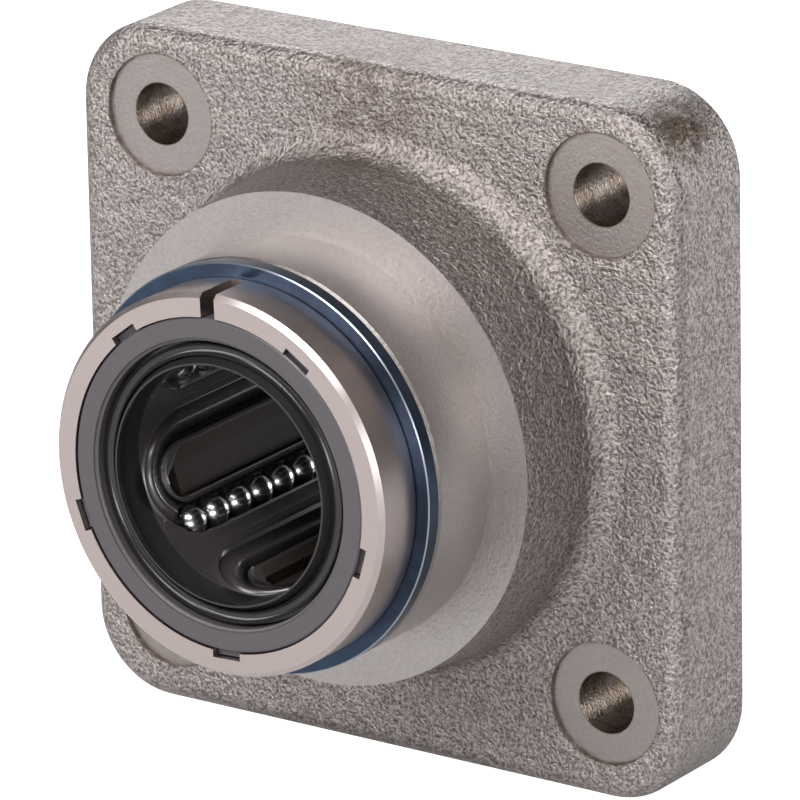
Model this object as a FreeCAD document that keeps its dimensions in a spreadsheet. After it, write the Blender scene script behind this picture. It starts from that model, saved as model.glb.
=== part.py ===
"""Square-flanged linear bearing block for a 25 mm shaft.

A cast housing with a turned hub holds a ball bushing between two snap rings.  The bushing is a
hardened sleeve with five recirculating ball circuits in a moulded cage, closed at each end by a
plastic end ring and a shaft seal.

Frame: origin at the middle of the bushing on the shaft axis, +Y along the shaft towards the
mounting face, +X right, +Z up.  Lengths along the shaft are measured from the bushing's front end.
"""
import FreeCAD, Part
import math
import os
import re
import Sketcher

SIZES = [
    # alias, value in mm (angles in degrees), what it is
    ("shaft_dia", 25.0, "shaft that runs in the bushing"),
    ("bushing_length", 58.0, "sleeve, end to end"),
    ("sleeve_wall", 2.47, "sleeve wall at its two end bores"),
    ("fit_play", 0.02, "radial clearance between pieces that seat in each other"),
    ("nose", 28.7, "from the bushing's front end to the flange's front face"),
    ("flange_margin", 9.85, "from the bolt holes to the flange's edges, on average"),
    ("flange_thick", 12.0, "flange thickness"),
    ("flange_corner", 9.0, "corner radius of the flange"),
    ("edge_round", 2.0, "rounding of the cast front edge"),
    ("back_edge", 0.5, "rounding of the machined back edge"),
    ("cast_shift", 0.65, "how far the casting sits to the left of and below the machined bore"),
    ("hole_spacing", 54.0, "bolt holes, centre to centre, both ways"),
    ("hole_dia", 6.6, "clearance hole for an M6 screw"),
    ("spot_dia", 13.0, "spot face round each hole"),
    ("spot_depth", 0.4, "depth of the spot face"),
    ("boss_step", 4.5, "width of the boss's turned shoulder"),
    ("boss_reach", 12.1, "shoulder ahead of the flange's front face"),
    ("boss_draft", 0.8, "growth in radius from the shoulder to the foot of the boss"),
    ("boss_fillet", 3.0, "cast fillet between boss and flange"),
    ("hub_wall", 1.5, "wall of the turned hub and of the spigot behind the flange"),
    ("hub_edge", 0.35, "chamfer on the hub's two ends"),
    ("groove_inset", 5.95, "from the sleeve's ends to the ring grooves"),
    ("clip_thick", 1.75, "snap ring thickness"),
    ("clip_width", 2.5, "snap ring radial width"),
    ("clip_edge", 0.12, "chamfer on the snap ring's outer edges"),
    ("clip_gap", 14.0, "opening between the ring's two ends"),
    ("clip_angle", 210.0, "direction of that opening"),
    ("groove_width", 1.85, "ring groove in the sleeve"),
    ("groove_depth", 1.0, "depth of the ring groove"),
    ("sleeve_edge", 0.5, "chamfer on the sleeve's outer edges"),
    ("end_step", 0.144, "end bores outside the return grooves"),
    ("race_inset", 11.8, "from the sleeve's ends to the hardened raceways"),
    ("slot_width", 1.7, "slot through the sleeve wall at the front"),
    ("slot_stop", 0.55, "from that slot's end to the ring groove"),
    ("slot_angle", 92.0, "direction of that slot"),
    ("notch_width", 3.3, "notches in the sleeve's end bore"),
    ("notch_rise", 0.7, "radial depth of the notches"),
    ("notch_length", 2.1, "notches along the shaft"),
    ("notch_angle", 56.0, "direction of the first notch"),
    ("ring_recess", 0.1, "end ring behind the sleeve's face"),
    ("ring_thick", 2.2, "end ring thickness"),
    ("ring_clear", 2.5, "end ring hole, clear of the shaft"),
    ("ring_gap", 0.13, "gap round the end ring"),
    ("ring_round", 0.35, "rounding of the end ring's hole"),
    ("ring_edge", 0.15, "chamfer on the end ring's outer edge"),
    ("tab_recess", 0.8, "end ring tabs behind the sleeve's face"),
    ("seal_thick", 0.8, "seal flange behind the end ring"),
    ("seal_play", 0.05, "seal and cage against what they seat on"),
    ("bead_radius", 0.62, "round bead on the seal's front"),
    ("bead_clear", 1.45, "middle of that bead, clear of the shaft"),
    ("lip_land", 0.6, "length of the lip that runs on the shaft"),
    ("lip_recess", 0.2, "lip behind the sleeve's face"),
    ("cage_clear", 0.25, "cage bore, clear of the shaft"),
    ("cage_cone", 1.6, "radial growth of the cage's bore at its ends"),
    ("cone_length", 1.2, "length of that cone"),
    ("circuits", 5.0, "ball circuits round the shaft"),
    ("circuit_angle", 219.0, "direction of the first loaded row"),
    ("return_angle", 44.0, "from a loaded row to its return row"),
    ("ball_dia", 3.572, "bearing ball, 9/64 inch"),
    ("race_play", 0.01, "an unloaded ball against the raceway and the shaft"),
    ("ball_pitch", 3.83, "ball to ball along the track"),
    ("ball_start", -8.29, "first ball of a circuit, from the front start of its loaded row"),
    ("turn_space", 11.1, "from the bushing's ends to the end of the straight rows"),
    ("turn_reach", 5.2, "how far a turn runs past the straight rows"),
    ("return_rise", 1.254, "ball centres of the return rows outside those of the loaded rows"),
    ("ball_play", 0.1, "clearance beside the balls in the cage"),
    ("floor_play", 0.05, "clearance under the balls in the cage"),
    ("window_hold", 0.122, "how much narrower than a ball its window onto the shaft is"),
    ("lip_thick", 0.75, "lips of the cage beside the loaded balls"),
    ("track_width", 3.3, "open track moulded round each island"),
    ("cover_thick", 0.3, "cage between that track and the returning balls"),
    ("island_reach", 0.6, "how far the islands run past the straight rows"),
    ("pocket_width", 3.5, "rounded pocket in each island"),
    ("pocket_shift", 0.85, "how far that pocket lies towards the loaded balls"),
    ("pocket_depth", 1.2, "depth of that pocket"),
    ("pocket_rim", 0.9, "island past the end of its pocket"),
]
ALIASES = {alias for alias, _, _ in SIZES}

doc = FreeCAD.newDocument("linear_bearing_block")
sheet = doc.addObject("Spreadsheet::Sheet", "Sizes")
for row, (alias, number, note) in enumerate(SIZES, start=1):
    sheet.set(f"A{row}", note)
    sheet.set(f"B{row}", str(number))
    sheet.setAlias(f"B{row}", alias)
doc.recompute()

# Places along the shaft, counted from the bushing's front end, and radii, as formulas of the sizes
FLANGE_BACK = "nose + flange_thick"
ROW_HALF = "bushing_length / 2 - turn_space"
HUB_FRONT = "groove_inset + groove_width + seal_play"
HUB_BACK = f"bushing_length - ({HUB_FRONT})"
SHOULDER = "nose - boss_reach"
FLANGE_SIZE = "hole_spacing + 2 * flange_margin"
RACE_R = "shaft_dia / 2 + ball_dia + 2 * race_play"
LOADED_R = "(shaft_dia + ball_dia) / 2 + race_play"
RETURN_R = f"{LOADED_R} + return_rise"
END_R = f"{RETURN_R} + ball_dia / 2 + floor_play + end_step"
OUTER_R = f"{END_R} + sleeve_wall"
GROOVE_R = f"{OUTER_R} - groove_depth"
BORE_R = f"{OUTER_R} + fit_play"
HUB_R = f"{OUTER_R} + hub_wall"
BOSS_R = f"{HUB_R} + boss_step"
CAGE_HOLE_R = "shaft_dia / 2 + cage_clear"
CAGE_R = f"{RACE_R} - seal_play"
SEAL_FRONT = "ring_recess + ring_thick + seal_play"
CAGE_FRONT = f"{SEAL_FRONT} + seal_thick + seal_play"
CHANNEL = "ball_dia + 2 * ball_play"
WINDOW = "ball_dia - window_hold"
RETURN_FLOOR = f"{RETURN_R} - ball_dia / 2 - floor_play"
TRACK_R = f"{RETURN_FLOOR} - cover_thick"


def formula(text):
    """Write each alias in a formula as a reference to the sheet."""
    return re.sub(r"[a-z_]+", lambda m: "Sizes." + m[0] if m[0] in ALIASES else m[0], text)


def value(text):
    """Work a formula out to a number."""
    return float(sheet.evalExpression(formula(text)))


def bind(thing, **formulas):
    """Bind properties of an object to formulas."""
    for name, text in formulas.items():
        thing.setExpression(name, formula(text))


def origin_plane(body, role):
    return next(item for item in body.Origin.OriginFeatures if item.Role == role)


def new_body(label):
    body = doc.addObject("PartDesign::Body", label)
    body.Label = label
    return body


def new_sketch(body, name, role, x="0", y="0", z="0", turn="0", axis=(0, 0, 1)):
    """A sketch on an origin plane, shifted by x, y, z and turned about an axis of that plane."""
    sketch = body.newObject("Sketcher::SketchObject", name)
    sketch.AttachmentSupport = (origin_plane(body, role), [""])
    sketch.MapMode = "FlatFace"
    spin = FreeCAD.Rotation(FreeCAD.Vector(*axis), value(turn))
    base = FreeCAD.Vector(value(x), value(y), value(z))
    sketch.AttachmentOffset = FreeCAD.Placement(base, spin)
    for place, text in ((".Base.x", x), (".Base.y", y), (".Base.z", z), (".Rotation.Angle", turn)):
        if text != "0":
            sketch.setExpression("AttachmentOffset" + place, formula(text))
    return sketch


def pin_point(sketch, edge, end, x, y):
    """Tie one point of an edge to its coordinates; a formula of "0" puts it on the axis."""
    for kind, axis, text in (("DistanceX", -2, x), ("DistanceY", -1, y)):
        if text == "0":
            sketch.addConstraint(Sketcher.Constraint("PointOnObject", edge, end, axis))
        else:
            made = sketch.addConstraint(Sketcher.Constraint(kind, -1, 1, edge, end, value(text)))
            sketch.setExpression(f"Constraints[{made}]", formula(text))


def draw_outline(sketch, corners, arcs=()):
    """A closed outline through corners given as formulas, added to what the sketch holds.

    arcs names the stretches that are round: corner number, radius, and side, the side on which the
    middle of the circle lies: +1 left or -1 right of the way from that corner to the next.  A
    radius of None makes a half circle over a level chord.
    """
    points = [FreeCAD.Vector(value(x), value(y), 0) for x, y in corners]
    rounds = {corner: (radius, side) for corner, radius, side in arcs}
    first = sketch.GeometryCount
    starts, ends = {}, {}
    for i, a in enumerate(points):
        b = points[(i + 1) % len(points)]
        starts[i], ends[i] = 1, 2
        if i not in rounds:
            sketch.addGeometry(Part.LineSegment(a, b))
            continue
        radius, side = rounds[i]
        chord = b - a
        size = value(radius) if radius else chord.Length / 2
        across = FreeCAD.Vector(-chord.y, chord.x, 0).normalize() * side
        lift = math.sqrt(max(size ** 2 - chord.Length ** 2 / 4, 0))
        top = (a + b) / 2 + across * (lift - size)
        sketch.addGeometry(Part.Arc(a, top, b))
        if side < 0:
            starts[i], ends[i] = 2, 1
    for i, (x, y) in enumerate(corners):
        edge, after = first + i, (i + 1) % len(corners)
        pin_point(sketch, edge, starts[i], x, y)
        sketch.addConstraint(
            Sketcher.Constraint("Coincident", edge, ends[i], first + after, starts[after]))
    for i, (radius, _) in rounds.items():
        if radius:
            made = sketch.addConstraint(Sketcher.Constraint("Radius", first + i, value(radius)))
            sketch.setExpression(f"Constraints[{made}]", formula(radius))
        else:
            edge = first + i
            sketch.addConstraint(Sketcher.Constraint("Horizontal", edge, 3, edge, starts[i]))


def draw_box(sketch, x0, x1, y0, y1):
    """A rectangle between two x and two y formulas."""
    draw_outline(sketch, [(x0, y0), (x1, y0), (x1, y1), (x0, y1)])


def draw_spoke(sketch, inner, outer, width):
    """A rectangle from one radius to another along the sketch's x axis."""
    draw_box(sketch, inner, outer, f"-({width}) / 2", f"({width}) / 2")


def draw_circle(sketch, x, y, radius):
    """A circle whose middle and radius are formulas."""
    middle = FreeCAD.Vector(value(x), value(y), 0)
    edge = sketch.addGeometry(Part.Circle(middle, FreeCAD.Vector(0, 0, 1), value(radius)))
    pin_point(sketch, edge, 3, x, y)
    made = sketch.addConstraint(Sketcher.Constraint("Radius", edge, value(radius)))
    sketch.setExpression(f"Constraints[{made}]", formula(radius))


def shaft_profile(body, name, corners, arcs=(), turn="0"):
    """A profile in the plane of radius (x) and distance from the bushing's front end (y)."""
    sketch = new_sketch(body, name, "XY_Plane", y="-bushing_length / 2", turn=turn, axis=(0, 1, 0))
    draw_outline(sketch, corners, arcs)
    return sketch


def revolve(body, sketch, kind="Revolution", angle="360"):
    """Turn a profile about the shaft axis, as a solid or as a cut."""
    feature = body.newObject("PartDesign::" + kind, sketch.Name + "_turned")
    feature.Profile = sketch
    feature.ReferenceAxis = (sketch, ["V_Axis"])
    feature.Angle = value(angle)
    if angle != "360":
        bind(feature, Angle=angle)
    doc.recompute()
    return feature


def cut(body, sketch, length=None, reverse=False):
    """A pocket, through everything unless a length is given; it has to remove material."""
    before = body.Shape.Volume
    feature = body.newObject("PartDesign::Pocket", sketch.Name + "_cut")
    feature.Profile = sketch
    feature.Reversed = reverse
    if length is None:
        feature.Type = "ThroughAll"
    else:
        feature.Length = value(length)
        bind(feature, Length=length)
    doc.recompute()
    if body.Shape.Volume >= before:
        raise RuntimeError(sketch.Name + " removes nothing")
    return feature


def repeat_round(body, features, axis, count):
    """Copy features round the shaft axis."""
    pattern = body.newObject("PartDesign::PolarPattern", features[0].Name + "_pattern")
    pattern.Originals = features
    pattern.Axis = axis
    pattern.Angle = 360
    pattern.Occurrences = int(value(count))
    if count in ALIASES:
        bind(pattern, Occurrences=count)
    body.Tip = pattern
    doc.recompute()
    return pattern


def edges_at(shape, test):
    """Names of the edges whose every sampled point passes a test."""
    names = []
    for number, edge in enumerate(shape.Edges, start=1):
        samples = edge.discretize(5)
        if all(test(point) for point in samples):
            names.append(f"Edge{number}")
    return names


def round_edges(body, kind, size, test):
    """Fillet or chamfer the edges that pass a test."""
    tip = body.Tip
    feature = body.newObject("PartDesign::" + kind, f"{tip.Name}_{kind.lower()}")
    feature.Base = (tip, edges_at(tip.Shape, test))
    if kind == "Fillet":
        feature.Radius = value(size)
        bind(feature, Radius=size)
    else:
        feature.Size = value(size)
        bind(feature, Size=size)
    doc.recompute()
    return feature


# ---------------------------------------------------------------- housing
def make_housing():
    """Cast flange, boss and hub in one piece, with the machined bore, spot faces and bolt holes."""
    body = new_body("flange_housing")
    low = f"({FLANGE_SIZE}) / 2 + cast_shift"
    plate = new_sketch(body, "flange_outline", "XZ_Plane",
                       x=f"-({low})", y=f"-({low})", z=f"bushing_length / 2 - nose")
    near, far = "flange_corner", f"{FLANGE_SIZE} - flange_corner"
    corners = [(near, "0"), (far, "0"), (FLANGE_SIZE, near), (FLANGE_SIZE, far),
               (far, FLANGE_SIZE), (near, FLANGE_SIZE), ("0", far), ("0", near)]
    draw_outline(plate, corners, [(i, "flange_corner", 1) for i in (1, 3, 5, 7)])
    pad = body.newObject("PartDesign::Pad", "flange_pad")
    pad.Profile = plate
    pad.Reversed = True
    pad.Length = value("flange_thick")
    bind(pad, Length="flange_thick")
    doc.recompute()

    front = value("nose - bushing_length / 2")
    back = value(f"{FLANGE_BACK} - bushing_length / 2")
    near_plane = value("edge_round") / 100
    round_edges(body, "Fillet", "edge_round", lambda p: abs(p.y - front) < near_plane)
    round_edges(body, "Fillet", "back_edge", lambda p: abs(p.y - back) < near_plane)

    foot = f"{BOSS_R} + boss_draft"
    hub = HUB_R
    profile = shaft_profile(body, "hub_profile", [
        (BORE_R, HUB_FRONT), (f"{hub} - hub_edge", HUB_FRONT), (hub, f"{HUB_FRONT} + hub_edge"),
        (hub, SHOULDER), (BOSS_R, SHOULDER), (foot, "nose - boss_fillet"),
        (f"{foot} + boss_fillet", "nose"), (f"{foot} + boss_fillet", FLANGE_BACK),
        (hub, FLANGE_BACK), (hub, f"{HUB_BACK} - hub_edge"), (f"{hub} - hub_edge", HUB_BACK),
        (BORE_R, HUB_BACK)], arcs=[(5, "boss_fillet", -1)])
    revolve(body, profile)

    bore = new_sketch(body, "bore_circle", "XZ_Plane", z="bushing_length / 2")
    draw_circle(bore, "0", "0", BORE_R)
    cut(body, bore)

    spot = new_sketch(body, "spot_face", "XZ_Plane", z="bushing_length / 2 - nose - spot_depth")
    draw_circle(spot, "hole_spacing / 2", "hole_spacing / 2", "spot_dia / 2")
    spot_cut = cut(body, spot, "spot_depth + edge_round", reverse=True)
    hole = new_sketch(body, "bolt_hole", "XZ_Plane", z="bushing_length / 2")
    draw_circle(hole, "hole_spacing / 2", "hole_spacing / 2", "hole_dia / 2")
    hole_cut = cut(body, hole)
    repeat_round(body, [spot_cut, hole_cut], (bore, ["N_Axis"]), "4")
    return body


# ---------------------------------------------------------------- bushing sleeve
def make_sleeve():
    """Hardened sleeve with ring grooves, raceways, return grooves, end notches and front slot."""
    body = new_body("outer_sleeve")
    outside, bottom, groove, race = OUTER_R, GROOVE_R, "groove_inset", "race_inset"
    half = [(END_R, "0"), (f"{outside} - sleeve_edge", "0"), (outside, "sleeve_edge"),
            (outside, groove), (bottom, groove), (bottom, f"{groove} + groove_width"),
            (outside, f"{groove} + groove_width")]
    other = [(x, f"bushing_length - ({y})") for x, y in reversed(half)]
    steps = [(END_R, f"bushing_length - ({race})"), (RACE_R, f"bushing_length - ({race})"),
             (RACE_R, race), (END_R, race)]
    profile = shaft_profile(body, "sleeve_profile", half + other + steps)
    revolve(body, profile)

    row = new_sketch(body, "return_groove", "XZ_Plane", z="bushing_length / 2",
                     turn="circuit_angle - return_angle")
    depth = f"{RETURN_R} + ball_dia / 2 + floor_play"
    draw_spoke(row, "shaft_dia / 2", depth, CHANNEL)
    return_cut = cut(body, row)
    repeat_round(body, [return_cut], (row, ["N_Axis"]), "circuits")

    for end, reverse, place in (("front", False, "bushing_length / 2"),
                                ("back", True, "-bushing_length / 2")):
        notch = new_sketch(body, "notch_" + end, "XZ_Plane", z=place, turn="notch_angle")
        draw_spoke(notch, f"{END_R} - notch_rise", f"{END_R} + notch_rise", "notch_width")
        notch_cut = cut(body, notch, "notch_length", reverse)
        repeat_round(body, [notch_cut], (notch, ["N_Axis"]), "circuits")

    slot = new_sketch(body, "slot", "XZ_Plane", z="bushing_length / 2", turn="slot_angle")
    draw_spoke(slot, f"{END_R} - slot_width", f"{outside} + slot_width", "slot_width")
    cut(body, slot, "groove_inset - slot_stop")
    return body


# ---------------------------------------------------------------- end rings and seals
def from_end(end, corners):
    """Corners counted from the front end, or mirrored to the back end."""
    if end == "front":
        return corners
    return [(x, f"bushing_length - ({y})") for x, y in corners]


def make_end_ring(end):
    """Flat plastic ring that closes the bushing; its tabs snap into the sleeve's notches."""
    body = new_body("end_ring_" + end)
    outer, hole = f"{END_R} - ring_gap", "shaft_dia / 2 + ring_clear"
    side = -1 if end == "front" else 1
    profile = shaft_profile(body, "ring_profile_" + end, from_end(end, [
        (f"{hole} + ring_round", "ring_recess"), (f"{outer} - ring_edge", "ring_recess"),
        (outer, "ring_recess + ring_edge"), (outer, "ring_recess + ring_thick"), (hole, "ring_recess + ring_thick"),
        (hole, "ring_recess + ring_round")]), arcs=[(5, "ring_round", side)])
    revolve(body, profile)
    place = "bushing_length / 2 - tab_recess"
    tab = new_sketch(body, "tab_" + end, "XZ_Plane", turn="notch_angle",
                     z=place if end == "front" else f"-({place})")
    draw_spoke(tab, f"{outer} - notch_rise", f"{END_R} + notch_rise - ring_gap",
               "notch_width - 2 * ring_gap")
    pad = body.newObject("PartDesign::Pad", "tab_pad_" + end)
    pad.Profile = tab
    pad.Reversed = end == "front"
    pad.Length = value("notch_length - tab_recess - seal_play")
    bind(pad, Length="notch_length - tab_recess - seal_play")
    doc.recompute()
    repeat_round(body, [pad], (tab, ["N_Axis"]), "circuits")
    return body


def make_seal(end):
    """Moulded shaft seal: a flange held behind the end ring, a round bead and the shaft lip."""
    body = new_body("shaft_seal_" + end)
    lip, bead = "shaft_dia / 2", "shaft_dia / 2 + bead_clear"
    outer = "shaft_dia / 2 + ring_clear - ring_gap"
    valley = "lip_recess + lip_land + bead_radius"
    crest = "lip_recess + bead_radius + seal_play"
    side = 1 if end == "front" else -1
    profile = shaft_profile(body, "seal_profile_" + end, from_end(end, [
        (lip, "lip_recess"), (f"{lip} + seal_thick / 4", "lip_recess"),
        (f"{bead} - bead_radius", valley), (f"{bead} - bead_radius", crest),
        (f"{bead} + bead_radius", crest), (f"{bead} + bead_radius", f"{valley} + seal_thick / 2"),
        (outer, f"{valley} + seal_thick / 2"), (outer, SEAL_FRONT),
        (f"{END_R} - ring_gap", SEAL_FRONT), (f"{END_R} - ring_gap", f"{SEAL_FRONT} + seal_thick"),
        (f"{lip} + 3 * lip_land", f"{SEAL_FRONT} + seal_thick"),
        (lip, "lip_recess + lip_land")]), arcs=[(3, None, -side)])
    revolve(body, profile)
    return body


def make_clip(end):
    """Open snap ring of even width that seats against the outer wall of its groove."""
    body = new_body("snap_ring_" + end)
    outside = "groove_inset"
    inner, outer = f"{GROOVE_R} + fit_play", f"{GROOVE_R} + clip_width"
    profile = shaft_profile(body, "clip_profile_" + end, from_end(end, [
        (inner, outside), (f"{outer} - clip_edge", outside), (outer, f"{outside} + clip_edge"),
        (outer, f"{outside} + clip_thick - clip_edge"),
        (f"{outer} - clip_edge", f"{outside} + clip_thick"), (inner, f"{outside} + clip_thick")]),
        turn="-clip_angle - clip_gap / 2")
    revolve(body, profile, angle="360 - clip_gap")
    return body


# ---------------------------------------------------------------- ball cage
def make_cage_blank():
    """Moulded tube with windows for the loaded balls and covered return rows and turns."""
    blank = new_body("cage_blank")
    hole, back = CAGE_HOLE_R, f"bushing_length - ({CAGE_FRONT})"
    profile = shaft_profile(blank, "cage_profile", [
        (f"{hole} + cage_cone", CAGE_FRONT), (CAGE_R, CAGE_FRONT), (CAGE_R, back),
        (f"{hole} + cage_cone", back), (hole, f"{back} - cone_length"),
        (hole, f"{CAGE_FRONT} + cone_length")])
    revolve(blank, profile)

    def lengthwise(name, turn, radius, half_length, width, shift=None, depth=None):
        """A cut along the shaft from a plane that faces outwards at the given angle.

        With a shift it has round ends and a depth of its own.
        """
        sketch = new_sketch(blank, name, "XY_Plane", turn=f"90 - ({turn})", axis=(0, 1, 0))
        for place, text in ((".Base.x", f"({radius}) * cos({turn})"),
                            (".Base.z", f"({radius}) * sin({turn})")):
            sketch.setExpression("AttachmentOffset" + place, formula(text))
        left, right, low = f"-({width}) / 2", f"({width}) / 2", f"-({half_length})"
        if shift is None:
            draw_box(sketch, left, right, low, half_length)
            return cut(blank, sketch, f"{RACE_R} - ({radius}) + ball_dia", reverse=True)
        left, right = f"{left} - ({shift})", f"{right} - ({shift})"
        draw_outline(sketch, [(left, low), (right, low), (right, half_length), (left, half_length)],
                     [(0, None, 1), (2, None, 1)])
        return cut(blank, sketch, depth, reverse=True)

    loaded, returning = "circuit_angle", "circuit_angle - return_angle"
    open_half = f"{ROW_HALF} + ball_dia"
    window = lengthwise("ball_window", loaded, "shaft_dia / 2 - lip_thick", open_half, WINDOW)
    channel = lengthwise("loaded_channel", loaded, f"{hole} + lip_thick", open_half, CHANNEL)
    covered = lengthwise("return_channel", returning, RETURN_FLOOR, ROW_HALF, CHANNEL)
    tip = f"{ROW_HALF} + island_reach + {across_island()}"
    pocket = lengthwise("island_pocket", "circuit_angle - return_angle / 2", f"{hole} - cover_thick",
                        f"{tip} - pocket_rim - pocket_width / 2", "pocket_width", "pocket_shift",
                        "pocket_depth + cover_thick")

    half_width = f"({CHANNEL}) / 2"
    reach = f"{ROW_HALF} + turn_reach + {half_width}"
    spread = f"2 * ({half_width}) / ({RETURN_R}) * 180 / pi"
    turns = []
    for end in ("front", "back"):
        area = [(RETURN_FLOOR, f"bushing_length / 2 - ({reach})"),
                (f"{CAGE_R} + ball_play", f"bushing_length / 2 - ({reach})"),
                (f"{CAGE_R} + ball_play", "turn_space"), (RETURN_FLOOR, "turn_space")]
        sketch = shaft_profile(blank, "turn_" + end, from_end(end, area),
                               turn=f"-(circuit_angle + ({spread}) / 2)")
        turns.append(revolve(blank, sketch, "Groove", angle=f"return_angle + {spread}"))
    repeat_round(blank, [window, channel, covered, pocket] + turns, (profile, ["V_Axis"]),
                 "circuits")
    return blank


def across_island(side="-"):
    """Half the width of an island, or of the track's outside with a plus."""
    return f"(({CAGE_HOLE_R}) * sin(return_angle / 2) {side} track_width / 2)"


def make_tracks():
    """The open racetracks round the islands: a flat ring pushed outwards to an even depth."""
    outline = doc.addObject("Sketcher::SketchObject", "track_outline")
    for half, top in ((across_island("+"), ROW_HALF),
                      (across_island(), f"{ROW_HALF} + island_reach")):
        draw_outline(outline, [(f"-{half}", f"-({top})"), (half, f"-({top})"), (half, top),
                               (f"-{half}", top)], [(0, None, 1), (2, None, 1)])
    doc.recompute()
    rings = []
    for i in range(int(value("circuits"))):
        ring = doc.addObject("Part::Extrusion", f"track_ring_{i + 1}")
        ring.Base = outline
        ring.DirMode = "Normal"
        ring.Solid = True
        bind(ring, LengthFwd=f"{TRACK_R} + track_width")
        ring.Placement.Rotation = FreeCAD.Rotation(FreeCAD.Vector(0, 1, 0), 90)
        facing = f"circuit_angle - return_angle / 2 + {i} * 360 / circuits"
        bind(ring, **{"Placement.Rotation.Angle": f"90 - ({facing})"})
        rings.append(ring)
    rings_together = doc.addObject("Part::MultiFuse", "track_rings")
    rings_together.Shapes = rings
    limit = doc.addObject("Part::Cylinder", "track_limit")
    limit.Placement.Rotation = FreeCAD.Rotation(FreeCAD.Vector(1, 0, 0), -90)
    bind(limit, Radius=TRACK_R, Height="bushing_length")
    bind(limit, **{"Placement.Base.y": "-bushing_length / 2"})
    tracks = doc.addObject("Part::Common", "tracks")
    tracks.Base, tracks.Tool = rings_together, limit
    return tracks


def make_cage():
    """The cage blank with the tracks cut into its bore."""
    cage = doc.addObject("Part::Cut", "ball_cage")
    cage.Label = "ball_cage"
    cage.Base, cage.Tool = make_cage_blank(), make_tracks()
    doc.recompute()
    return cage


# ---------------------------------------------------------------- balls
def circuit_path():
    """Points along one closed circuit: kind of stretch, turn from the loaded row, place, radius.

    The two rows are straight.  A turn is half an ellipse on the cylinder: its angle goes with the
    cosine and its reach with the sine of one parameter, while the balls climb from the raceway to
    the return radius over the first quarter.
    """
    row, reach, turn = value(ROW_HALF), value("turn_reach"), value("return_angle")
    low, high = value(LOADED_R), value(RETURN_R)
    steps = 90
    path = [("loaded", 0, -row + 2 * row * i / steps, low) for i in range(steps)]
    climb = []
    for i in range(steps):
        u = math.pi * i / steps
        share = min(1, u / (math.pi / 4))
        rise = share * share * (3 - 2 * share)
        climb.append((turn / 2 * (1 - math.cos(u)), reach * math.sin(u), low + (high - low) * rise))
    path += [("back_turn", -swing, row + out, radius) for swing, out, radius in climb]
    path += [("return", -turn, row - 2 * row * i / steps, high) for i in range(steps)]
    path += [("front_turn", -swing, -row - out, radius) for swing, out, radius in reversed(climb)]
    return path


def ball_places():
    """Where the balls of one full circuit sit, told as circuit_path tells it."""
    path = circuit_path()
    spots = []
    for kind, swing, along, radius in path:
        angle = math.radians(swing)
        spots.append(FreeCAD.Vector(radius * math.cos(angle), along, radius * math.sin(angle)))
    reached = [0.0]
    for a, b in zip(spots, spots[1:] + spots[:1]):
        reached.append(reached[-1] + (b - a).Length)
    places = []
    for number in range(int(reached[-1] / value("ball_pitch"))):
        goal = (value("ball_start") + number * value("ball_pitch")) % reached[-1]
        at = next(i for i in range(len(path)) if reached[i + 1] > goal)
        share = (goal - reached[at]) / (reached[at + 1] - reached[at])
        after = path[(at + 1) % len(path)]
        middle = [a + (b - a) * share for a, b in zip(path[at][1:], after[1:])]
        places.append((path[at][0], *middle))
    return places


def make_balls():
    """One node for each stretch of each circuit, as separate spheres."""
    made = []
    places = ball_places()
    radius = value("ball_dia / 2")
    for circuit in range(int(value("circuits"))):
        facing = value(f"circuit_angle + {circuit} * 360 / circuits")
        for kind in ("loaded", "front_turn", "return", "back_turn"):
            balls = []
            for _, swing, along, out in [place for place in places if place[0] == kind]:
                angle = math.radians(facing + swing)
                middle = FreeCAD.Vector(out * math.cos(angle), along, out * math.sin(angle))
                balls.append(Part.makeSphere(radius, middle))
            node = doc.addObject("Part::Feature", f"{kind}_balls_{circuit + 1}")
            node.Label = node.Name
            node.Shape = Part.makeCompound(balls)
            made.append(node)
    return made


# ---------------------------------------------------------------- all pieces
pieces = [make_housing(), make_sleeve(), make_cage()]
for end in ("front", "back"):
    pieces += [make_end_ring(end), make_seal(end), make_clip(end)]
pieces += make_balls()
doc.recompute()

for item in doc.Objects:
    if "Invalid" in item.State or "Error" in item.State:
        raise RuntimeError(f"{item.Label} failed: {item.State}")
os.makedirs("parts", exist_ok=True)
for piece in pieces:
    if piece.Shape.isNull() or not piece.Shape.isValid():
        raise RuntimeError(piece.Label + " has no valid shape")
    piece.Shape.exportStep(f"parts/{piece.Label}.step")
    print(f"{piece.Label}: {len(piece.Shape.Solids)} solids, {piece.Shape.Volume:.1f} mm3")
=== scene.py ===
"""Finishes, fine pieces and studio for a square-flanged linear bearing block.

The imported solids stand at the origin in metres: +Y runs along the shaft from the hub's nose to the
mounting face, +Z is up.  Each operator dresses one piece, or one group of like pieces.
"""
import math

import bpy
import numpy as np
from bpy.props import FloatProperty, FloatVectorProperty, PointerProperty
from mathutils import Matrix, Vector


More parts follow.
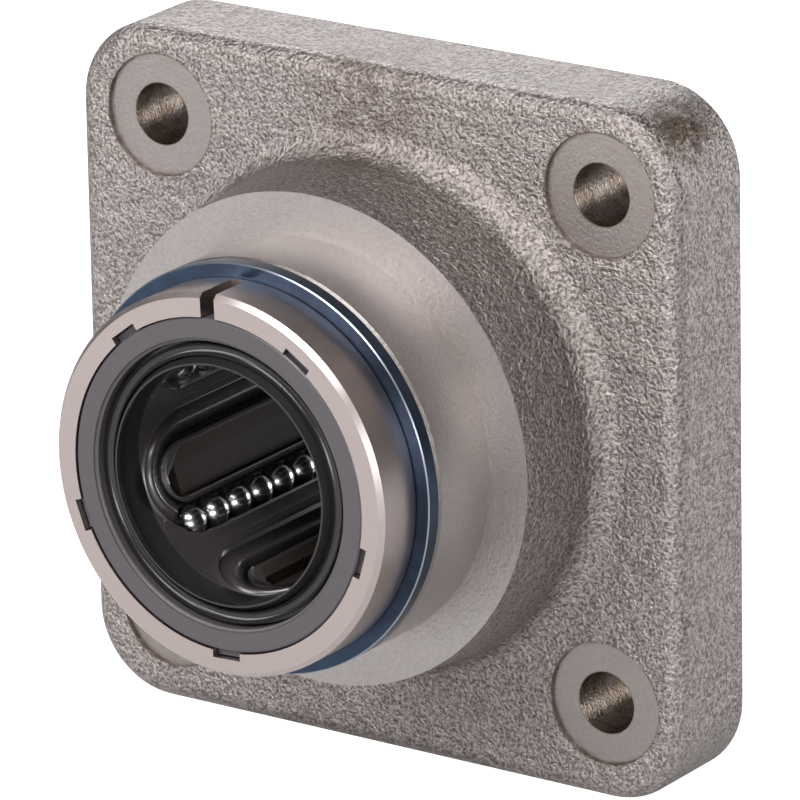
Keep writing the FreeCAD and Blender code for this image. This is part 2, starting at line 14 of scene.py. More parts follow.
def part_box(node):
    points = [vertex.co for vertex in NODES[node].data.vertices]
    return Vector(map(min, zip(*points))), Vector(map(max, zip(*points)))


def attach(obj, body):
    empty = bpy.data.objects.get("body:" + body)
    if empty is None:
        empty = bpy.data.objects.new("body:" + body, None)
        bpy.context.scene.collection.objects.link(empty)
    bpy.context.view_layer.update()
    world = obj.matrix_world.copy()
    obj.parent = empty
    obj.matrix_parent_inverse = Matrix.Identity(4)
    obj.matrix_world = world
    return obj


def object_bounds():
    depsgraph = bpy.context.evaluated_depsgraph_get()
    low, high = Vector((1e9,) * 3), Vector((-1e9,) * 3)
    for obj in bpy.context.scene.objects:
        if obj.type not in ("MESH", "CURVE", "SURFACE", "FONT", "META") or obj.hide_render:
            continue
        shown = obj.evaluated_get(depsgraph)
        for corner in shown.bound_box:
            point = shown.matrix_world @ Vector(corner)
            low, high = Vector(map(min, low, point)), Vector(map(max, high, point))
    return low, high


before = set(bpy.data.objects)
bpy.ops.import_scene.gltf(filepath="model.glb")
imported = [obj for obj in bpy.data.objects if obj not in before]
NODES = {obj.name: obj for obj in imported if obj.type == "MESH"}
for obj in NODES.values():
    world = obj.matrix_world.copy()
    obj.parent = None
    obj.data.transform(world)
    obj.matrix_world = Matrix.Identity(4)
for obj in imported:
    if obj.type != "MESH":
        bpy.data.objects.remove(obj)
CAD_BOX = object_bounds()

bl_info = {
    "name": "Linear Bearing Block",
    "version": (1, 0, 0),
    "blender": (4, 5, 0),
    "location": "View3D > Sidebar > Bearing",
    "description": "Finishes and studio for a square-flanged linear bearing block",
    "category": "Object",
}

MM = 0.001
# places along the shaft
FLANGE_FRONT = -0.3 * MM
SHOULDER = FLANGE_FRONT - 12.1 * MM
FLANGE_BACK = FLANGE_FRONT + 12.0 * MM
RING_FACE = 23.05 * MM      # the snap rings' outer faces, from the middle
ROW_HALF = 17.9 * MM        # half the straight part of a row of balls
TURN_REACH = 5.1 * MM       # how far the turns reach past the rows
# round the shaft
CIRCUITS = 5
CIRCUIT_PITCH = 2 * math.pi / CIRCUITS
CIRCUIT_FACING = math.radians(197)
BORE = 12.75 * MM
TRACK_HALF = BORE * math.radians(22)
RING_RADIUS = 21.5 * MM
HOLE_RADIUS = 3.3 * MM

PLASTIC_IOR = 1.5
# middle and reach in millimetres, and strength
RUST_PATCHES = (((33.5, 5.0, 33.5), 5.5, 1.0), ((-1.0, -0.3, 32.0), 10.0, 0.5))
# name, direction from the block, distance, width and height in metres, and watts
LIGHTS = (("key", (0.10, -0.58, 0.80), 0.60, 0.50, 0.22, 4.4),
          ("front", (0.60, -0.79, 0.12), 0.75, 0.36, 0.15, 2.3),
          ("left_fill", (-0.58, -0.72, 0.38), 0.60, 0.34, 0.24, 2.0),
          ("right_rim", (0.38, 0.92, 0.04), 0.60, 0.16, 0.20, 1.3),
          ("back", (-0.54, 0.76, 0.36), 0.70, 0.30, 0.16, 1.2))
# points along a turn, and across a bead's section
TURN_POINTS, SECTION_POINTS = 28, 14
BALL_NODES = sorted(name for name in NODES if "_balls_" in name)


def linear(hex_colour):
    """An sRGB hex colour as linear red, green, blue and a full alpha."""
    parts = [int(hex_colour[i:i + 2], 16) / 255 for i in (1, 3, 5)]
    return (*(c / 12.92 if c <= 0.04045 else ((c + 0.055) / 1.055) ** 2.4 for c in parts), 1.0)


def colour(hex_colour, name, description):
    """A colour property whose default is an sRGB hex value."""
    return FloatVectorProperty(name=name, description=description, subtype="COLOR", size=4,
                               min=0, max=1, default=linear(hex_colour))


def length(mm, name, description):
    """A length property whose default is given in millimetres."""
    return FloatProperty(name=name, description=description, subtype="DISTANCE", unit="LENGTH",
                         default=mm * MM, min=0, precision=5)


class BearingSizes(bpy.types.PropertyGroup):
    """Lengths that the finishes follow."""
    cast_grain: length(0.36, "Cast grain", "Width of a grain of the sand-cast skin")
    turning_feed: length(0.22, "Turning feed", "Distance between the lathe tool's marks")
    hole_offset: length(27.0, "Bolt hole offset", "From the shaft axis to a bolt hole, both ways")
    spot_radius: length(6.5, "Spot face radius", "Radius of the milled spot faces")


class BearingColours(bpy.types.PropertyGroup):
    """Base colours of the finishes."""
    cast_iron: colour("#AAA29F", "Cast iron", "Blasted sand-cast skin of the flange and boss")
    cast_pits: colour("#6B6360", "Cast pits", "Between the grains of the sand-cast skin")
    turned_iron: colour("#ABA5A3", "Turned iron", "Turned hub, shoulder, back face and spigot")
    turned_pores: colour("#5C5552", "Turned pores", "Open grain of the turned faces")
    hub_chamfer: colour("#6F6A68", "Hub chamfer", "Front chamfer of the hub")
    spot_faces: colour("#9C9491", "Spot faces", "Milled rings under the screw heads")
    tarnish: colour("#554025", "Tarnish", "Thin rust round the holes and on the upper edges")
    ground_steel: colour("#B1A5A2", "Ground steel", "Sleeve of the bushing")
    # painted shade: the dark line in the groove where a snap ring meets the sleeve
    groove_shade: colour("#1A1718", "Shaded corner", "Shade where a snap ring meets the sleeve")
    blued_steel: colour("#323E50", "Blued steel", "Snap rings")
    thin_bluing: colour("#3B4A5E", "Thin bluing", "Lighter clouds on the snap rings")
    # worn bare edge, and a painted highlight along the snap rings' outer edges
    worn_edge_and_highlight: colour("#8B949D", "Worn edge", "Rubbed outer edges of the snap rings")
    grey_acetal: colour("#433F42", "Grey acetal", "End rings")
    black_rubber: colour("#1F1D1F", "Black rubber", "Shaft seals")
    black_cage: colour("#343030", "Black cage", "Ball cage")
    pocket_floor: colour("#2B2421", "Pocket floor", "Dusty floors of the cage's islands")
    # painted shade: near black on the cage's ends behind the seals
    cage_ends_shade: colour("#0B0A0A", "Cage ends", "Dusty ends of the cage, behind the seals")
    chrome_steel: colour("#C4C1C0", "Chrome steel", "Bearing balls")
    backdrop: colour("#C8C8C8", "Backdrop", "Floor and backdrop paper")


def sizes():
    """The scene's lengths."""
    return bpy.context.scene.bearing_sizes


def colours():
    """The scene's colours."""
    return bpy.context.scene.bearing_colours


# ---------------------------------------------------------------- materials
def new_material(name):
    """A material with an empty node tree, and that tree."""
    material = bpy.data.materials.new(name)
    material.use_nodes = True
    material.node_tree.nodes.clear()
    return material, material.node_tree


def add(tree, kind, inputs=(), **settings):
    """Add a shader node, set its properties, and set or link its inputs."""
    node = tree.nodes.new("ShaderNode" + kind)
    for name, value in settings.items():
        setattr(node, name, value)
    for key, value in (inputs.items() if isinstance(inputs, dict) else enumerate(inputs)):
        if isinstance(value, bpy.types.Node):
            value = value.outputs[0]
        if isinstance(value, bpy.types.NodeSocket):
            tree.links.new(value, node.inputs[key])
        else:
            node.inputs[key].default_value = value
    return node


# A MapRange of (value, low, high) with these settings is 0 below low and 1 above high, and smooth
# between them.  Low may be the larger one, which turns the step round.
SMOOTH = {"interpolation_type": "SMOOTHSTEP"}


def object_place(tree):
    """Object coordinates, their x, y and z, and the distance from the shaft axis."""
    place = add(tree, "TexCoord").outputs["Object"]
    split = add(tree, "SeparateXYZ", [place])
    flat = add(tree, "VectorMath", [place, (1, 0, 1)], operation="MULTIPLY")
    radius = add(tree, "VectorMath", [flat], operation="LENGTH").outputs["Value"]
    return place, split.outputs["X"], split.outputs["Y"], split.outputs["Z"], radius


def dress(material, *nodes):
    """Give CAD nodes a material."""
    for name in nodes:
        slots = NODES[name].data.materials
        slots.clear()
        slots.append(material)


def cast_and_turned_iron():
    """Grey cast iron: a blasted sand-cast skin, with turned and milled faces where tools went.

    The skin is a pebbly matt metal that glitters grain by grain; turned faces are smoother and
    carry fine rings round their own axis.  Thin rust gathers round the holes and on upper edges.
    """
    material, tree = new_material("cast_and_turned_iron")
    size, tint = sizes(), colours()
    place, x, y, z, radius = object_place(tree)

    # distance from the nearest bolt hole's axis
    fold_x, fold_z = (
        add(tree, "Math", [add(tree, "Math", [side], operation="ABSOLUTE"), size.hole_offset],
            operation="SUBTRACT") for side in (x, z))
    corner = add(tree, "CombineXYZ", [fold_x, 0.0, fold_z])
    from_hole = add(tree, "VectorMath", [corner], operation="LENGTH").outputs["Value"]

    # where tools cut: ahead of the shoulder, on the back face and spigot, in the spot faces
    ahead = add(tree, "MapRange", [y, SHOULDER + 0.10 * MM, SHOULDER + 0.04 * MM], **SMOOTH)
    behind = add(tree, "MapRange", [y, FLANGE_BACK - 0.25 * MM, FLANGE_BACK - 0.15 * MM],
                 **SMOOTH)
    front_half = add(tree, "MapRange", [y, FLANGE_BACK - 1.0 * MM, FLANGE_BACK - 2.0 * MM],
                     **SMOOTH)
    milled = add(tree, "MapRange", [from_hole, size.spot_radius + 0.05 * MM,
                                    size.spot_radius - 0.02 * MM], **SMOOTH)
    milled = add(tree, "Math", [milled, front_half], operation="MULTIPLY")
    cut = add(tree, "Math", [add(tree, "Math", [ahead, behind], operation="MAXIMUM"), milled],
              operation="MAXIMUM")

    # cast skin: sharp grains of blasted sand over coarser pebbles and the mould's slow unevenness
    grain = add(tree, "TexNoise", {"Vector": place, "Scale": 1 / size.cast_grain, "Detail": 3.0,
                                   "Roughness": 0.65, "Distortion": 0.15})
    pebble = add(tree, "TexNoise", {"Vector": place, "Scale": 0.4 / size.cast_grain,
                                    "Detail": 1.0})
    uneven = add(tree, "TexNoise", {"Vector": place, "Scale": 1 / (3.5 * MM), "Detail": 2.0})
    skin = add(tree, "Math", [pebble, 0.8, grain], operation="MULTIPLY_ADD")
    skin = add(tree, "Math", [uneven, 1.2, skin], operation="MULTIPLY_ADD")

    # turned faces: rings about the shaft, or about the hole in a spot face, over a faint open
    # grain that is a little stronger in the spot faces
    about = add(tree, "Mix", {0: milled, 2: radius, 3: from_hole}, data_type="FLOAT")
    along = add(tree, "Math", [about.outputs[0], y], operation="ADD")
    rings = add(tree, "TexNoise", {"W": along, "Scale": 1 / size.turning_feed, "Detail": 2.0},
                noise_dimensions="1D")
    rings = add(tree, "Math", [rings, 0.06], operation="MULTIPLY")
    rings = add(tree, "Math", [grain, 0.2, rings], operation="MULTIPLY_ADD")
    rings = add(tree, "Math", [grain, add(tree, "Math", [milled, 0.04], operation="MULTIPLY"),
                               rings], operation="MULTIPLY_ADD")
    relief = add(tree, "Mix", {0: cut, 2: skin, 3: rings}, data_type="FLOAT")
    bump = add(tree, "Bump", {"Strength": 1.0, "Distance": 0.32 * MM,
                              "Height": relief.outputs[0]})

    # rust: a thin line round the spot faces, films in the holes, one patch behind the upper right
    # corner's edge and a faint one on the upper part of the face
    cloud = add(tree, "TexNoise", {"Vector": place, "Scale": 1 / (2.5 * MM), "Detail": 6.0,
                                   "Roughness": 0.75})
    rim_in = add(tree, "MapRange", [from_hole, size.spot_radius - 0.35 * MM, size.spot_radius],
                 **SMOOTH)
    rim_out = add(tree, "MapRange", [from_hole, size.spot_radius + 0.45 * MM,
                                     size.spot_radius - 0.05 * MM], **SMOOTH)
    rim = add(tree, "Math", [rim_out, rim_in], operation="MULTIPLY")
    rim = add(tree, "Math", [rim, front_half], operation="MULTIPLY")
    wall = add(tree, "MapRange", [from_hole, HOLE_RADIUS + 0.15 * MM, HOLE_RADIUS], **SMOOTH)
    spread = add(tree, "Math", [add(tree, "Math", [rim, 0.6], operation="MULTIPLY"), wall],
                 operation="MAXIMUM")
    for middle, reach, strength in RUST_PATCHES:
        off = add(tree, "VectorMath", [place, Vector(middle) * MM], operation="DISTANCE")
        patch = add(tree, "MapRange", [off.outputs["Value"], reach * MM, 0.3 * reach * MM],
                    **SMOOTH)
        patch = add(tree, "Math", [patch, strength], operation="MULTIPLY")
        spread = add(tree, "Math", [spread, patch], operation="MAXIMUM")
    rust = add(tree, "Math", [add(tree, "MapRange", [cloud, 0.38, 0.56], **SMOOTH), spread],
               operation="MULTIPLY")
    rust = add(tree, "Math", [rust, 0.8], operation="MULTIPLY")
    film = add(tree, "Math", [wall, 0.5], operation="MULTIPLY")
    rust = add(tree, "Math", [rust, film], operation="MAXIMUM")

    mottled = add(tree, "Mix", {0: add(tree, "MapRange", [grain, 0.34, 0.62], **SMOOTH),
                                6: tint.cast_pits, 7: tint.cast_iron}, data_type="RGBA")
    worked = add(tree, "Mix", {0: milled, 6: tint.turned_iron, 7: tint.spot_faces},
                 data_type="RGBA")
    pores = add(tree, "Math", [add(tree, "MapRange", [grain, 0.62, 0.3], **SMOOTH), 0.16],
                operation="MULTIPLY")
    worked = add(tree, "Mix", {0: pores, 6: worked.outputs[2], 7: tint.turned_pores},
                 data_type="RGBA")
    base = add(tree, "Mix", {0: cut, 6: mottled.outputs[2], 7: worked.outputs[2]},
               data_type="RGBA")
    base = add(tree, "Mix", {0: rust, 6: base.outputs[2], 7: tint.tarnish}, data_type="RGBA")
    # the hub's front chamfer is darker than the faces round it
    hub_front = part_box("flange_housing")[0][1]
    nose = add(tree, "MapRange", [y, hub_front + 0.42 * MM, hub_front + 0.34 * MM], **SMOOTH)
    base = add(tree, "Mix", {0: nose, 6: base.outputs[2], 7: tint.hub_chamfer},
               data_type="RGBA")
    rough = add(tree, "Mix", {0: cut, 2: 0.33, 3: 0.36}, data_type="FLOAT")
    shader = add(tree, "BsdfPrincipled", {"Base Color": base.outputs[2], "Metallic": 1.0,
                                          "Roughness": rough.outputs[0], "Normal": bump})
    add(tree, "OutputMaterial", [shader])
    return material


def ground_bearing_steel():
    """Hardened bearing steel, ground outside: bright, with very fine marks round the axis."""
    material, tree = new_material("ground_bearing_steel")
    place, _, y, _, radius = object_place(tree)
    along = add(tree, "Math", [y, radius], operation="ADD")
    marks = add(tree, "TexNoise", {"W": along, "Scale": 1 / (0.12 * MM), "Detail": 3.0},
                noise_dimensions="1D")
    blur = add(tree, "TexNoise", {"Vector": place, "Scale": 1 / (3 * MM), "Detail": 4.0})
    rough = add(tree, "MapRange", [blur, 0.3, 0.7, 0.3, 0.38])
    bump = add(tree, "Bump", {"Strength": 0.6, "Distance": 0.01 * MM, "Height": marks})
    # painted shade: a dark line darkens the corner where each snap ring sits in its groove
    from_middle = add(tree, "Math", [y], operation="ABSOLUTE")
    start = add(tree, "MapRange", [from_middle, RING_FACE, RING_FACE + 0.03 * MM], **SMOOTH)
    end = add(tree, "MapRange", [from_middle, RING_FACE + 0.25 * MM, RING_FACE + 0.10 * MM],
              **SMOOTH)
    corner = add(tree, "Math", [start, end], operation="MULTIPLY")
    base = add(tree, "Mix", {0: corner, 6: colours().ground_steel, 7: colours().groove_shade},
               data_type="RGBA")
    shader = add(tree, "BsdfPrincipled", {"Base Color": base.outputs[2], "Metallic": 1.0,
                                          "Roughness": rough, "Normal": bump})
    add(tree, "OutputMaterial", [shader])
    return material


def blued_spring_steel():
    """Spring steel, blued in oil: a dark blue oxide over a smooth ring, rubbed at its edges, which
    also carry a painted highlight.
    """
    material, tree = new_material("blued_spring_steel")
    place, _, y, _, radius = object_place(tree)
    blur = add(tree, "TexNoise", {"Vector": place, "Scale": 1 / (1.5 * MM), "Detail": 4.0})
    base = add(tree, "Mix", {0: add(tree, "MapRange", [blur, 0.35, 0.85], **SMOOTH),
                             6: colours().blued_steel, 7: colours().thin_bluing},
               data_type="RGBA")
    # the outer edge towards the middle is rubbed bare, and its lighter colour is also a painted
    # highlight
    from_middle = add(tree, "Math", [y], operation="ABSOLUTE")
    outer = add(tree, "MapRange", [radius, RING_RADIUS - 0.16 * MM, RING_RADIUS - 0.10 * MM],
                **SMOOTH)
    inner = add(tree, "MapRange", [from_middle, RING_FACE - 0.15 * MM, RING_FACE - 0.10 * MM],
                **SMOOTH)
    edge = add(tree, "Math", [outer, inner], operation="MULTIPLY")
    base = add(tree, "Mix", {0: edge, 6: base.outputs[2], 7: colours().worn_edge_and_highlight},
               data_type="RGBA")
    shader = add(tree, "BsdfPrincipled", {"Base Color": base.outputs[2], "Metallic": 0.9,
                                          "Roughness": 0.28})
    add(tree, "OutputMaterial", [shader])
    return material


def moulded_plastic(name, tint, roughness, grain, depth):
    """Moulded plastic or rubber: even colour, with the faint unevenness of the tool's finish.

    The grain's width and depth are in millimetres.
    """
    material, tree = new_material(name)
    place = add(tree, "TexCoord").outputs["Object"]
    fine = add(tree, "TexNoise", {"Vector": place, "Scale": 1 / (grain * MM), "Detail": 3.0})
    bump = add(tree, "Bump", {"Strength": 0.5, "Distance": depth * MM, "Height": fine})
    rough = add(tree, "MapRange", [fine, 0.3, 0.7, roughness - 0.03, roughness + 0.04])
    shader = add(tree, "BsdfPrincipled", {"Base Color": tint, "Roughness": rough,
                                          "IOR": PLASTIC_IOR, "Normal": bump})
    add(tree, "OutputMaterial", [shader])
    return material


def moulded_cage_plastic():
    """The cage's glossy black plastic, rounded over the racetracks of the returning balls.

    Round each island the surface swells like a pipe: its height falls smoothly with the distance
    from a racetrack line, which is the length of (place round the bore, place past the rows)
    less half the width of the racetrack.  The islands' floors are matt with dust; the ends behind
    the seals are matt, and painted near black as painted shade.
    """
    material, tree = new_material("black_cage")
    place, x, y, z, _ = object_place(tree)
    turn = add(tree, "Math", [z, x], operation="ARCTAN2")
    turn = add(tree, "Math", [turn, CIRCUIT_FACING], operation="SUBTRACT")
    turn = add(tree, "Math", [turn, CIRCUIT_PITCH / 2, -CIRCUIT_PITCH / 2], operation="WRAP")
    across = add(tree, "Math", [turn, BORE], operation="MULTIPLY")
    from_middle = add(tree, "Math", [y], operation="ABSOLUTE")
    beyond = add(tree, "Math", [from_middle, ROW_HALF], operation="SUBTRACT")
    beyond = add(tree, "Math", [add(tree, "Math", [beyond, 0.0], operation="MAXIMUM"),
                                TRACK_HALF / TURN_REACH], operation="MULTIPLY")
    flat = add(tree, "CombineXYZ", [across, beyond, 0.0])
    off = add(tree, "VectorMath", [flat], operation="LENGTH").outputs["Value"]
    off = add(tree, "Math", [off, TRACK_HALF], operation="SUBTRACT")
    off = add(tree, "Math", [off], operation="ABSOLUTE")
    pipe = add(tree, "Bump", {"Strength": 1.0, "Distance": 2.0 * MM,
                              "Height": add(tree, "MapRange", [off, 2.2 * MM, 0.0], **SMOOTH)})
    fine = add(tree, "TexNoise", {"Vector": place, "Scale": 1 / (0.5 * MM), "Detail": 3.0})
    bump = add(tree, "Bump", {"Strength": 0.4, "Distance": 0.012 * MM, "Height": fine,
                              "Normal": pipe})
    # painted shade: the cage's ends behind the seals, deep in the bore, are painted near black
    ends = add(tree, "MapRange", [from_middle, 24.4 * MM, 24.7 * MM], **SMOOTH)
    island = add(tree, "Math", [add(tree, "Math", [across], operation="ABSOLUTE"), beyond],
                 operation="ADD")
    island = add(tree, "MapRange", [island, 3.0 * MM, 2.4 * MM], **SMOOTH)
    dusty = add(tree, "Math", [ends, island], operation="MAXIMUM")
    base = add(tree, "Mix", {0: island, 6: colours().black_cage, 7: colours().pocket_floor},
               data_type="RGBA")
    base = add(tree, "Mix", {0: ends, 6: base.outputs[2], 7: colours().cage_ends_shade},
               data_type="RGBA")
    rough = add(tree, "Mix", {0: dusty, 2: 0.27, 3: 0.6}, data_type="FLOAT")
    shine = add(tree, "Mix", {0: dusty, 2: 0.75, 3: 0.12}, data_type="FLOAT")
    shader = add(tree, "BsdfPrincipled", {"Base Color": base.outputs[2],
                                          "Roughness": rough.outputs[0], "IOR": PLASTIC_IOR,
                                          "Specular IOR Level": shine.outputs[0],
                                          "Normal": bump})
    add(tree, "OutputMaterial", [shader])
    return material


def polished_ball_steel():
    """Chrome steel balls, lapped to a mirror that a thin film of oil softens."""
    material, tree = new_material("polished_ball_steel")
    place = add(tree, "TexCoord").outputs["Object"]
    film = add(tree, "TexNoise", {"Vector": place, "Scale": 1 / (0.8 * MM), "Detail": 2.0})
    rough = add(tree, "MapRange", [film, 0.3, 0.7, 0.2, 0.26])
    shader = add(tree, "BsdfPrincipled", {"Base Color": colours().chrome_steel, "Metallic": 1.0,
                                          "Roughness": rough})
    add(tree, "OutputMaterial", [shader])
    return material


def backdrop_paper():
    """White paper that shows as the background to the eye and in reflections, with its shadow."""
    material, tree = new_material("backdrop_paper")
    ray = add(tree, "LightPath").outputs
    mirrored = add(tree, "Math", [ray["Is Camera Ray"], ray["Is Glossy Ray"]],
                   operation="MAXIMUM")
    mirrored = add(tree, "Math", [mirrored, ray["Is Transmission Ray"]], operation="MAXIMUM")
    glow = add(tree, "Math", [mirrored, 0.15], operation="MULTIPLY")
    glow = add(tree, "Math", [ray["Is Camera Ray"], 0.85, glow], operation="MULTIPLY_ADD")
    place = add(tree, "TexCoord").outputs["Object"]
    fibre = add(tree, "TexNoise", {"Vector": place, "Scale": 1 / (2 * MM)})
    rough = add(tree, "MapRange", [fibre, 0.0, 1.0, 0.8, 0.95])
    shader = add(tree, "BsdfPrincipled", {"Base Color": colours().backdrop, "Roughness": rough,
                                          "Emission Color": (1, 1, 1, 1),
                                          "Emission Strength": glow})
    add(tree, "OutputMaterial", [shader])
    return material


# ---------------------------------------------------------------- operators
class PieceOperator:
    bl_options = {"REGISTER", "UNDO"}


class BEARING_OT_housing(PieceOperator, bpy.types.Operator):
    """Finish the cast housing"""
    bl_idname = "bearing.housing"
    bl_label = "Housing"

    def execute(self, context):
        dress(cast_and_turned_iron(), "flange_housing")
        return {"FINISHED"}


class BEARING_OT_sleeve(PieceOperator, bpy.types.Operator):
    """Finish the bushing's steel sleeve"""
    bl_idname = "bearing.sleeve"
    bl_label = "Sleeve"

    def execute(self, context):
        dress(ground_bearing_steel(), "outer_sleeve")
        return {"FINISHED"}


class BEARING_OT_snap_rings(PieceOperator, bpy.types.Operator):
    """Finish the two snap rings"""
    bl_idname = "bearing.snap_rings"
    bl_label = "Snap rings"

    def execute(self, context):
        dress(blued_spring_steel(), "snap_ring_front", "snap_ring_back")
        return {"FINISHED"}


class BEARING_OT_end_rings(PieceOperator, bpy.types.Operator):
    """Finish the plastic end rings"""
    bl_idname = "bearing.end_rings"
    bl_label = "End rings"

    def execute(self, context):
        dress(moulded_plastic("grey_acetal", colours().grey_acetal, 0.42, 0.25, 0.012),
              "end_ring_front", "end_ring_back")
        return {"FINISHED"}


class BEARING_OT_seals(PieceOperator, bpy.types.Operator):
    """Finish the rubber shaft seals"""
    bl_idname = "bearing.seals"
    bl_label = "Shaft seals"

    def execute(self, context):
        dress(moulded_plastic("black_rubber", colours().black_rubber, 0.24, 3.0, 0.02),
              "shaft_seal_front", "shaft_seal_back")
        return {"FINISHED"}


class BEARING_OT_cage(PieceOperator, bpy.types.Operator):
    """Finish the ball cage"""
    bl_idname = "bearing.cage"
    bl_label = "Ball cage"

    def execute(self, context):
        dress(moulded_cage_plastic(), "ball_cage")
        return {"FINISHED"}


class BEARING_OT_balls(PieceOperator, bpy.types.Operator):
    """Finish the bearing balls"""
    bl_idname = "bearing.balls"
    bl_label = "Balls"

    def execute(self, context):
        dress(polished_ball_steel(), *BALL_NODES)
        return {"FINISHED"}


def new_mesh_object(name, points, faces, material):
    """A smooth-shaded object at the origin from arrays of points and of faces."""
    mesh = bpy.data.meshes.new(name)
    mesh.from_pydata(points.tolist(), [], faces.tolist())
    mesh.materials.append(material)
    mesh.polygons.foreach_set("use_smooth", np.full(len(mesh.polygons), True))
    mesh.update()
    piece = bpy.data.objects.new(name, mesh)
    bpy.context.scene.collection.objects.link(piece)
    return piece


def racetrack(across, along, opening):
    """Unrolled points (round the bore, along the shaft) and side directions round an island.

    Each end is a half ellipse `across` wide and `along` deep about the end of the rows; it starts
    at the angle `opening` from the loaded row's side, and the line between the two ends runs along
    the other side.  A negative width turns the sides round.
    """
    arc = np.linspace(opening, np.pi, TURN_POINTS)
    turn = np.sign(across)
    side = np.stack([turn * np.cos(arc), -np.sin(arc)], axis=-1)
    front = np.abs([across, along]) * side - (0, ROW_HALF)
    return (np.concatenate([front, front[::-1] * (1, -1)]),
            np.concatenate([side, side[::-1] * (1, -1)]))


def raised_beads(name, line, side, outside, inside, floor, material):
    """Rounded hollow beads on the bore of the cage, one to each island, as closed shells.

    A section is two half ellipses over the same floor radius: at the turn t the place across is
    width * cos(t) and the radius is floor - height * sin(t), with the outer skin's width and
    height and then the inner skin's.  The line is unrolled at the bore's radius, so a place round
    the bore divided by that radius is an angle.
    """
    turn = np.linspace(0, np.pi, SECTION_POINTS)
    (wide, high), (wide_in, high_in) = outside, inside
    over = np.concatenate([wide * np.cos(turn), wide_in * np.cos(turn[::-1])])
    radius = floor - np.concatenate([high * np.sin(turn), high_in * np.sin(turn[::-1])])
    flat = line[:, None] + side[:, None] * over[:, None]
    facing = CIRCUIT_FACING + CIRCUIT_PITCH * np.arange(CIRCUITS)[:, None, None]
    angle = facing + flat[..., 0] / BORE
    points = np.stack([radius * np.cos(angle), np.broadcast_to(flat[..., 1], angle.shape),
                       radius * np.sin(angle)], axis=-1)
    place = np.arange(points[..., 0].size).reshape(points.shape[:3])
    after = np.roll(place, -1, axis=2)
    skin = np.stack([place[:, :-1], place[:, 1:], after[:, 1:], after[:, :-1]], axis=-1)
    # each end is closed by a strip between the two skins
    near, far = place[:, :, :len(turn)], place[:, :, :len(turn) - 1:-1]
    strip = np.stack([near[..., :-1], near[..., 1:], far[..., 1:], far[..., :-1]], axis=-1)
    faces = np.concatenate([skin.reshape(-1, 4), strip[:, 0].reshape(-1, 4),
                            strip[:, -1, :, ::-1].reshape(-1, 4)])
    # where the sides lie to the left of the line's way, this order would face inwards
    ahead = line[1] - line[0]
    if ahead[0] * side[0, 1] > ahead[1] * side[0, 0]:
        faces = faces[:, ::-1]
    piece = new_mesh_object(name, points.reshape(-1, 3), faces, material)
    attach(piece, "root")


class BEARING_OT_cage_covers(PieceOperator, bpy.types.Operator):
    """Raise the rounded covers over the turns and return rows, and the rails by the loaded rows"""
    bl_idname = "bearing.cage_covers"
    bl_label = "Cage covers"

    def execute(self, context):
        material = bpy.data.materials["black_cage"]
        line, side = racetrack(TRACK_HALF, TURN_REACH, math.radians(42))
        raised_beads("turn_covers", line, side, (1.68 * MM, 0.76 * MM), (1.6 * MM, 0.02 * MM),
                     13.46 * MM, material)
        line, side = racetrack(-(TRACK_HALF + 2.8 * MM), 7.3 * MM, math.radians(122))
        raised_beads("row_rails", line, side, (0.9 * MM, 0.3 * MM), (0.8 * MM, 0.02 * MM),
                     12.95 * MM, material)
        return {"FINISHED"}


def soft_light(name, direction, distance, width, height, power):
    """A white rectangular area light at a distance along a direction, facing the origin."""
    data = bpy.data.lights.new(name, "AREA")
    data.shape, data.size, data.size_y = "RECTANGLE", width, height
    data.energy = power
    light = bpy.data.objects.new(name, data)
    light.location = Vector(direction).normalized() * distance
    light.rotation_euler = (-light.location).to_track_quat("-Z", "Y").to_euler()
    bpy.context.scene.collection.objects.link(light)


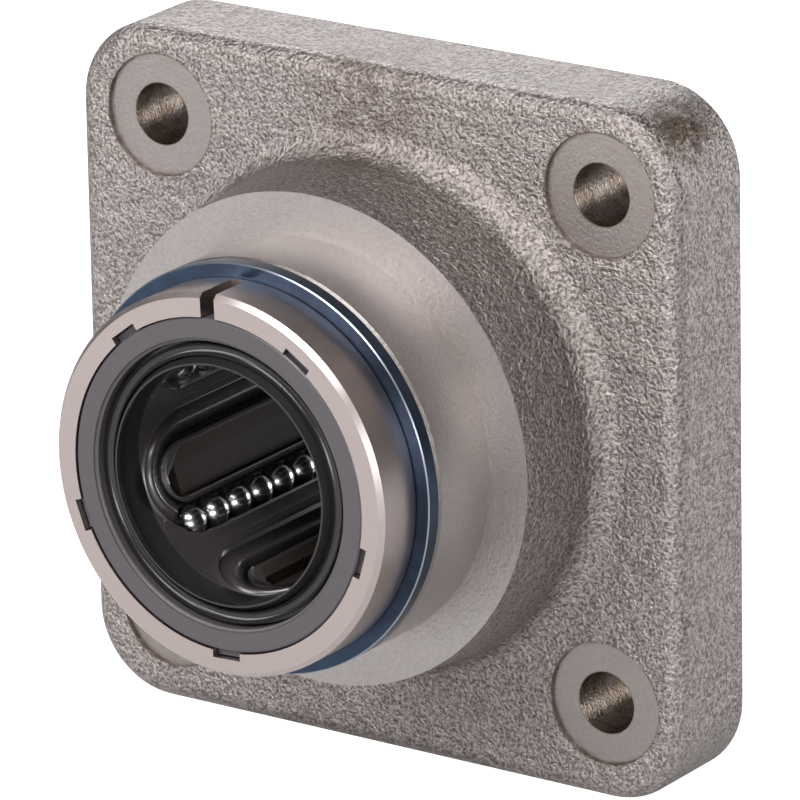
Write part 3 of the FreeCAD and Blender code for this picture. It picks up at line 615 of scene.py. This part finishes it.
class BEARING_OT_stage(PieceOperator, bpy.types.Operator):
    """Set up the floor, backdrop, lights and camera"""
    bl_idname = "bearing.stage"
    bl_label = "Stage"

    def execute(self, context):
        # the floor sweeps up into a backdrop behind the block: a quarter circle between two planes
        turn = np.linspace(0, np.pi / 2, 13)
        reach, bend = 1.6, 0.5
        depth = np.concatenate([[-2.2], reach + bend * np.sin(turn), [reach + bend]])
        height = np.concatenate([[0.0], bend * (1 - np.cos(turn)), [2.2]]) + CAD_BOX[0][2]
        across = np.array([-2.4, 2.4])
        points = np.stack(np.broadcast_arrays(across[None, :], depth[:, None],
                                              height[:, None]), axis=-1).reshape(-1, 3)
        spin = Matrix.Rotation(math.radians(34.8), 3, "Z")
        points = points @ np.array(spin).T
        row = np.arange(len(depth) - 1)[:, None] * 2
        faces = (row + np.array([0, 1, 3, 2])).reshape(-1, 4)
        floor = new_mesh_object("sweep", points, faces, backdrop_paper())

        for light in LIGHTS:
            soft_light(*light)

        world = bpy.data.worlds.new("studio")
        world.use_nodes = True
        background = world.node_tree.nodes["Background"]
        background.inputs["Color"].default_value = (0.5, 0.5, 0.5, 1)
        background.inputs["Strength"].default_value = 0.34
        context.scene.world = world

        # camera: the direction from the block to it, its distance in millimetres, and the point
        # that it faces
        towards = Vector((0.540499, -0.777676, 0.320995))
        away = 849.4
        target = Vector((2.43, -0.3, 1.215)) * MM
        heading = math.radians(34.801)
        side = Vector((math.cos(heading), math.sin(heading), 0))
        rise = towards.cross(side)
        roll = math.radians(-1.057)
        right = side * math.cos(roll) + rise * math.sin(roll)
        upward = -side * math.sin(roll) + rise * math.cos(roll)
        data = bpy.data.cameras.new("camera")
        data.sensor_width, data.lens = 36.0, 374.84
        data.clip_start, data.clip_end = 0.05, 20.0
        camera = bpy.data.objects.new("camera", data)
        turned = Matrix((right, upward, towards)).transposed().to_4x4()
        camera.matrix_world = Matrix.Translation(target + towards * away * MM) @ turned
        context.scene.collection.objects.link(camera)
        context.scene.camera = camera
        context.scene.view_settings.view_transform = "Standard"
        return {"FINISHED"}


STEPS = (BEARING_OT_housing, BEARING_OT_sleeve, BEARING_OT_snap_rings, BEARING_OT_end_rings,
         BEARING_OT_seals, BEARING_OT_cage, BEARING_OT_cage_covers, BEARING_OT_balls,
         BEARING_OT_stage)


class BEARING_PT_panel(bpy.types.Panel):
    """Sizes, colours and pieces of the bearing block"""
    bl_idname = "BEARING_PT_panel"
    bl_label = "Linear Bearing Block"
    bl_space_type = "VIEW_3D"
    bl_region_type = "UI"
    bl_category = "Bearing"

    def draw(self, context):
        column = self.layout.column()
        for group in (context.scene.bearing_sizes, context.scene.bearing_colours):
            for name in group.__annotations__:
                column.prop(group, name)
        for operator in STEPS:
            column.operator(operator.bl_idname)


CLASSES = (BearingSizes, BearingColours, *STEPS, BEARING_PT_panel)


def register():
    for item in CLASSES:
        bpy.utils.register_class(item)
    bpy.types.Scene.bearing_sizes = PointerProperty(type=BearingSizes)
    bpy.types.Scene.bearing_colours = PointerProperty(type=BearingColours)


def unregister():
    del bpy.types.Scene.bearing_colours
    del bpy.types.Scene.bearing_sizes
    for item in reversed(CLASSES):
        bpy.utils.unregister_class(item)


def main():
    register()
    for operator in STEPS:
        family, name = operator.bl_idname.split(".")
        getattr(getattr(bpy.ops, family), name)()


if __name__ == "__main__":
    main()
